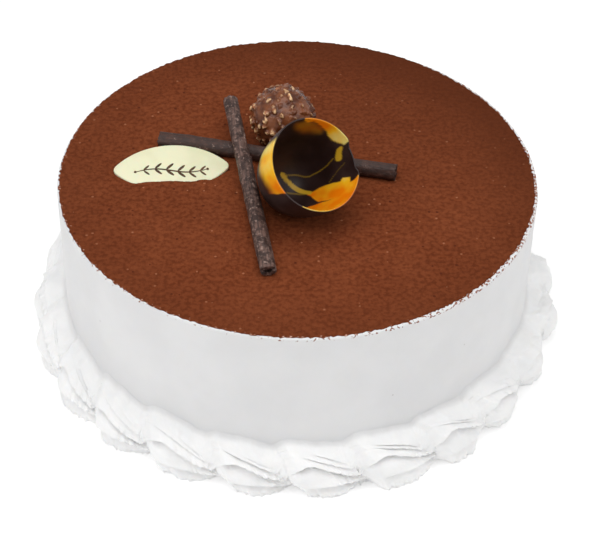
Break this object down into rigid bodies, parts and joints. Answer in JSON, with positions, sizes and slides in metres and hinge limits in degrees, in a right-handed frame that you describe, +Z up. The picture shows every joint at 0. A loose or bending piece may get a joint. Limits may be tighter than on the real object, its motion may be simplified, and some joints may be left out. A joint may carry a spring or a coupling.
{
  "type": "whole tiramisu cake",
  "caption": "Round cream-coated cake dusted with cocoa, with a piped shell border, rolled chocolate sticks, a nut truffle, a marbled chocolate cup and a pointed oval plaque.",
  "frame": {"origin": "middle of the flat base of the cake", "axes": "+Z up; the front of the cake faces -Y, with the plaque to the left of the crossed sticks"},
  "size_m": [0.2429, 0.2416, 0.1239],
  "materials": {
    "cream_coat": "smooth whipped cream, faintly pitted",
    "piped_cream": "piped whipped cream with torn ridges",
    "cocoa": "sifted powder",
    "dark_chocolate": "dull rolled chocolate with bloom",
    "nut_chocolate": "glossy chocolate over chopped nuts",
    "marbled_chocolate": "glossy chocolate marbled yellow, orange and dark brown",
    "white_chocolate": "satin white chocolate with a dark piped ornament"
  },
  "bodies": {
    "root": {"cake_body": "cream_coat", "cocoa_layer": "cocoa", "piped_border": "piped_cream", "back_stick": "dark_chocolate", "front_stick": "dark_chocolate", "truffle": "nut_chocolate", "marbled_cup": "marbled_chocolate", "plaque": "white_chocolate"}
  },
  "joints": []
}
